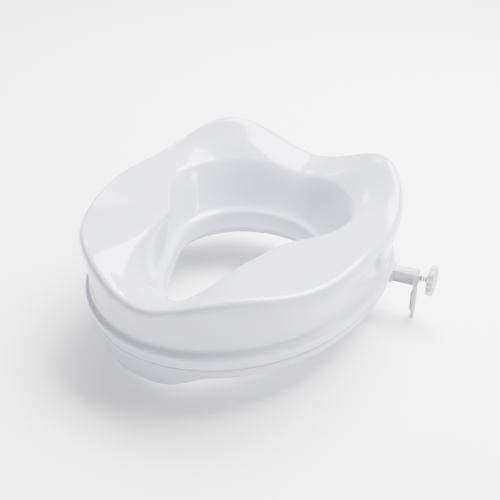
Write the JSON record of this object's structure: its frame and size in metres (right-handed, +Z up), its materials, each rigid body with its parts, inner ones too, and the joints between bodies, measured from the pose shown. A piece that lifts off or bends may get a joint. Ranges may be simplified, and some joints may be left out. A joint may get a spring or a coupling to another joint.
{
  "type": "raised toilet seat",
  "caption": "Contoured raised toilet seat with front and rear recesses, a locating chin and screw-tightened side clamps.",
  "frame": {"origin": "centre of the base on the floor plane, under the middle of the outline", "axes": "+Z up, the front recess faces -Y, the user's right-hand clamp when standing behind it and looking forwards is on -X; +X is the clamp side seen in the source view"},
  "size_m": [0.4494, 0.4166, 0.1886],
  "materials": {
    "shell": "glossy white moulded plastic",
    "base": "satin white moulded plastic",
    "bracket": "satin white moulded plastic",
    "screw": "pale natural nylon",
    "knob": "pale natural nylon",
    "pad": "pale grey rubber",
    "metal": "bright stainless steel"
  },
  "bodies": {
    "seat": {"seat_shell": "shell", "base_shell": "base", "front_left_pad": "pad", "front_right_pad": "pad", "rear_left_pad": "pad", "rear_right_pad": "pad", "right_sleeve": "base", "right_cradle": "base", "right_nut": "metal", "left_sleeve": "base", "left_cradle": "base", "left_nut": "metal"},
    "right_clamp": {"right_bracket": "bracket", "right_grip": "pad"},
    "right_screw": {"right_bolt": "screw", "right_clip": "metal", "right_washer": "metal", "right_knob": "knob"},
    "left_clamp": {"left_bracket": "bracket", "left_grip": "pad"},
    "left_screw": {"left_bolt": "screw", "left_clip": "metal", "left_washer": "metal", "left_knob": "knob"}
  },
  "joints": [
    {"name": "right_slide", "type": "slide", "parent": "seat", "child": "right_clamp", "axis": [-0.9848, -0.1736, 0], "range_m": [0, 0.0242]},
    {"name": "right_turn", "type": "hinge", "parent": "right_clamp", "child": "right_screw", "pos_m": [0.167, 0.117, 0.061], "axis": [-0.9848, -0.1736, 0], "range_deg": [0, 2880]},
    {"name": "left_slide", "type": "slide", "parent": "seat", "child": "left_clamp", "axis": [0.9848, -0.1736, 0], "range_m": [0, 0.0242]},
    {"name": "left_turn", "type": "hinge", "parent": "left_clamp", "child": "left_screw", "pos_m": [-0.167, 0.117, 0.061], "axis": [0.9848, -0.1736, 0], "range_deg": [0, 2880]}
  ],
  "couplings": [
    {"joint": "right_slide", "follows": "right_turn", "m_per_rad": 0.00047746},
    {"joint": "left_slide", "follows": "left_turn", "m_per_rad": 0.00047746}
  ]
}
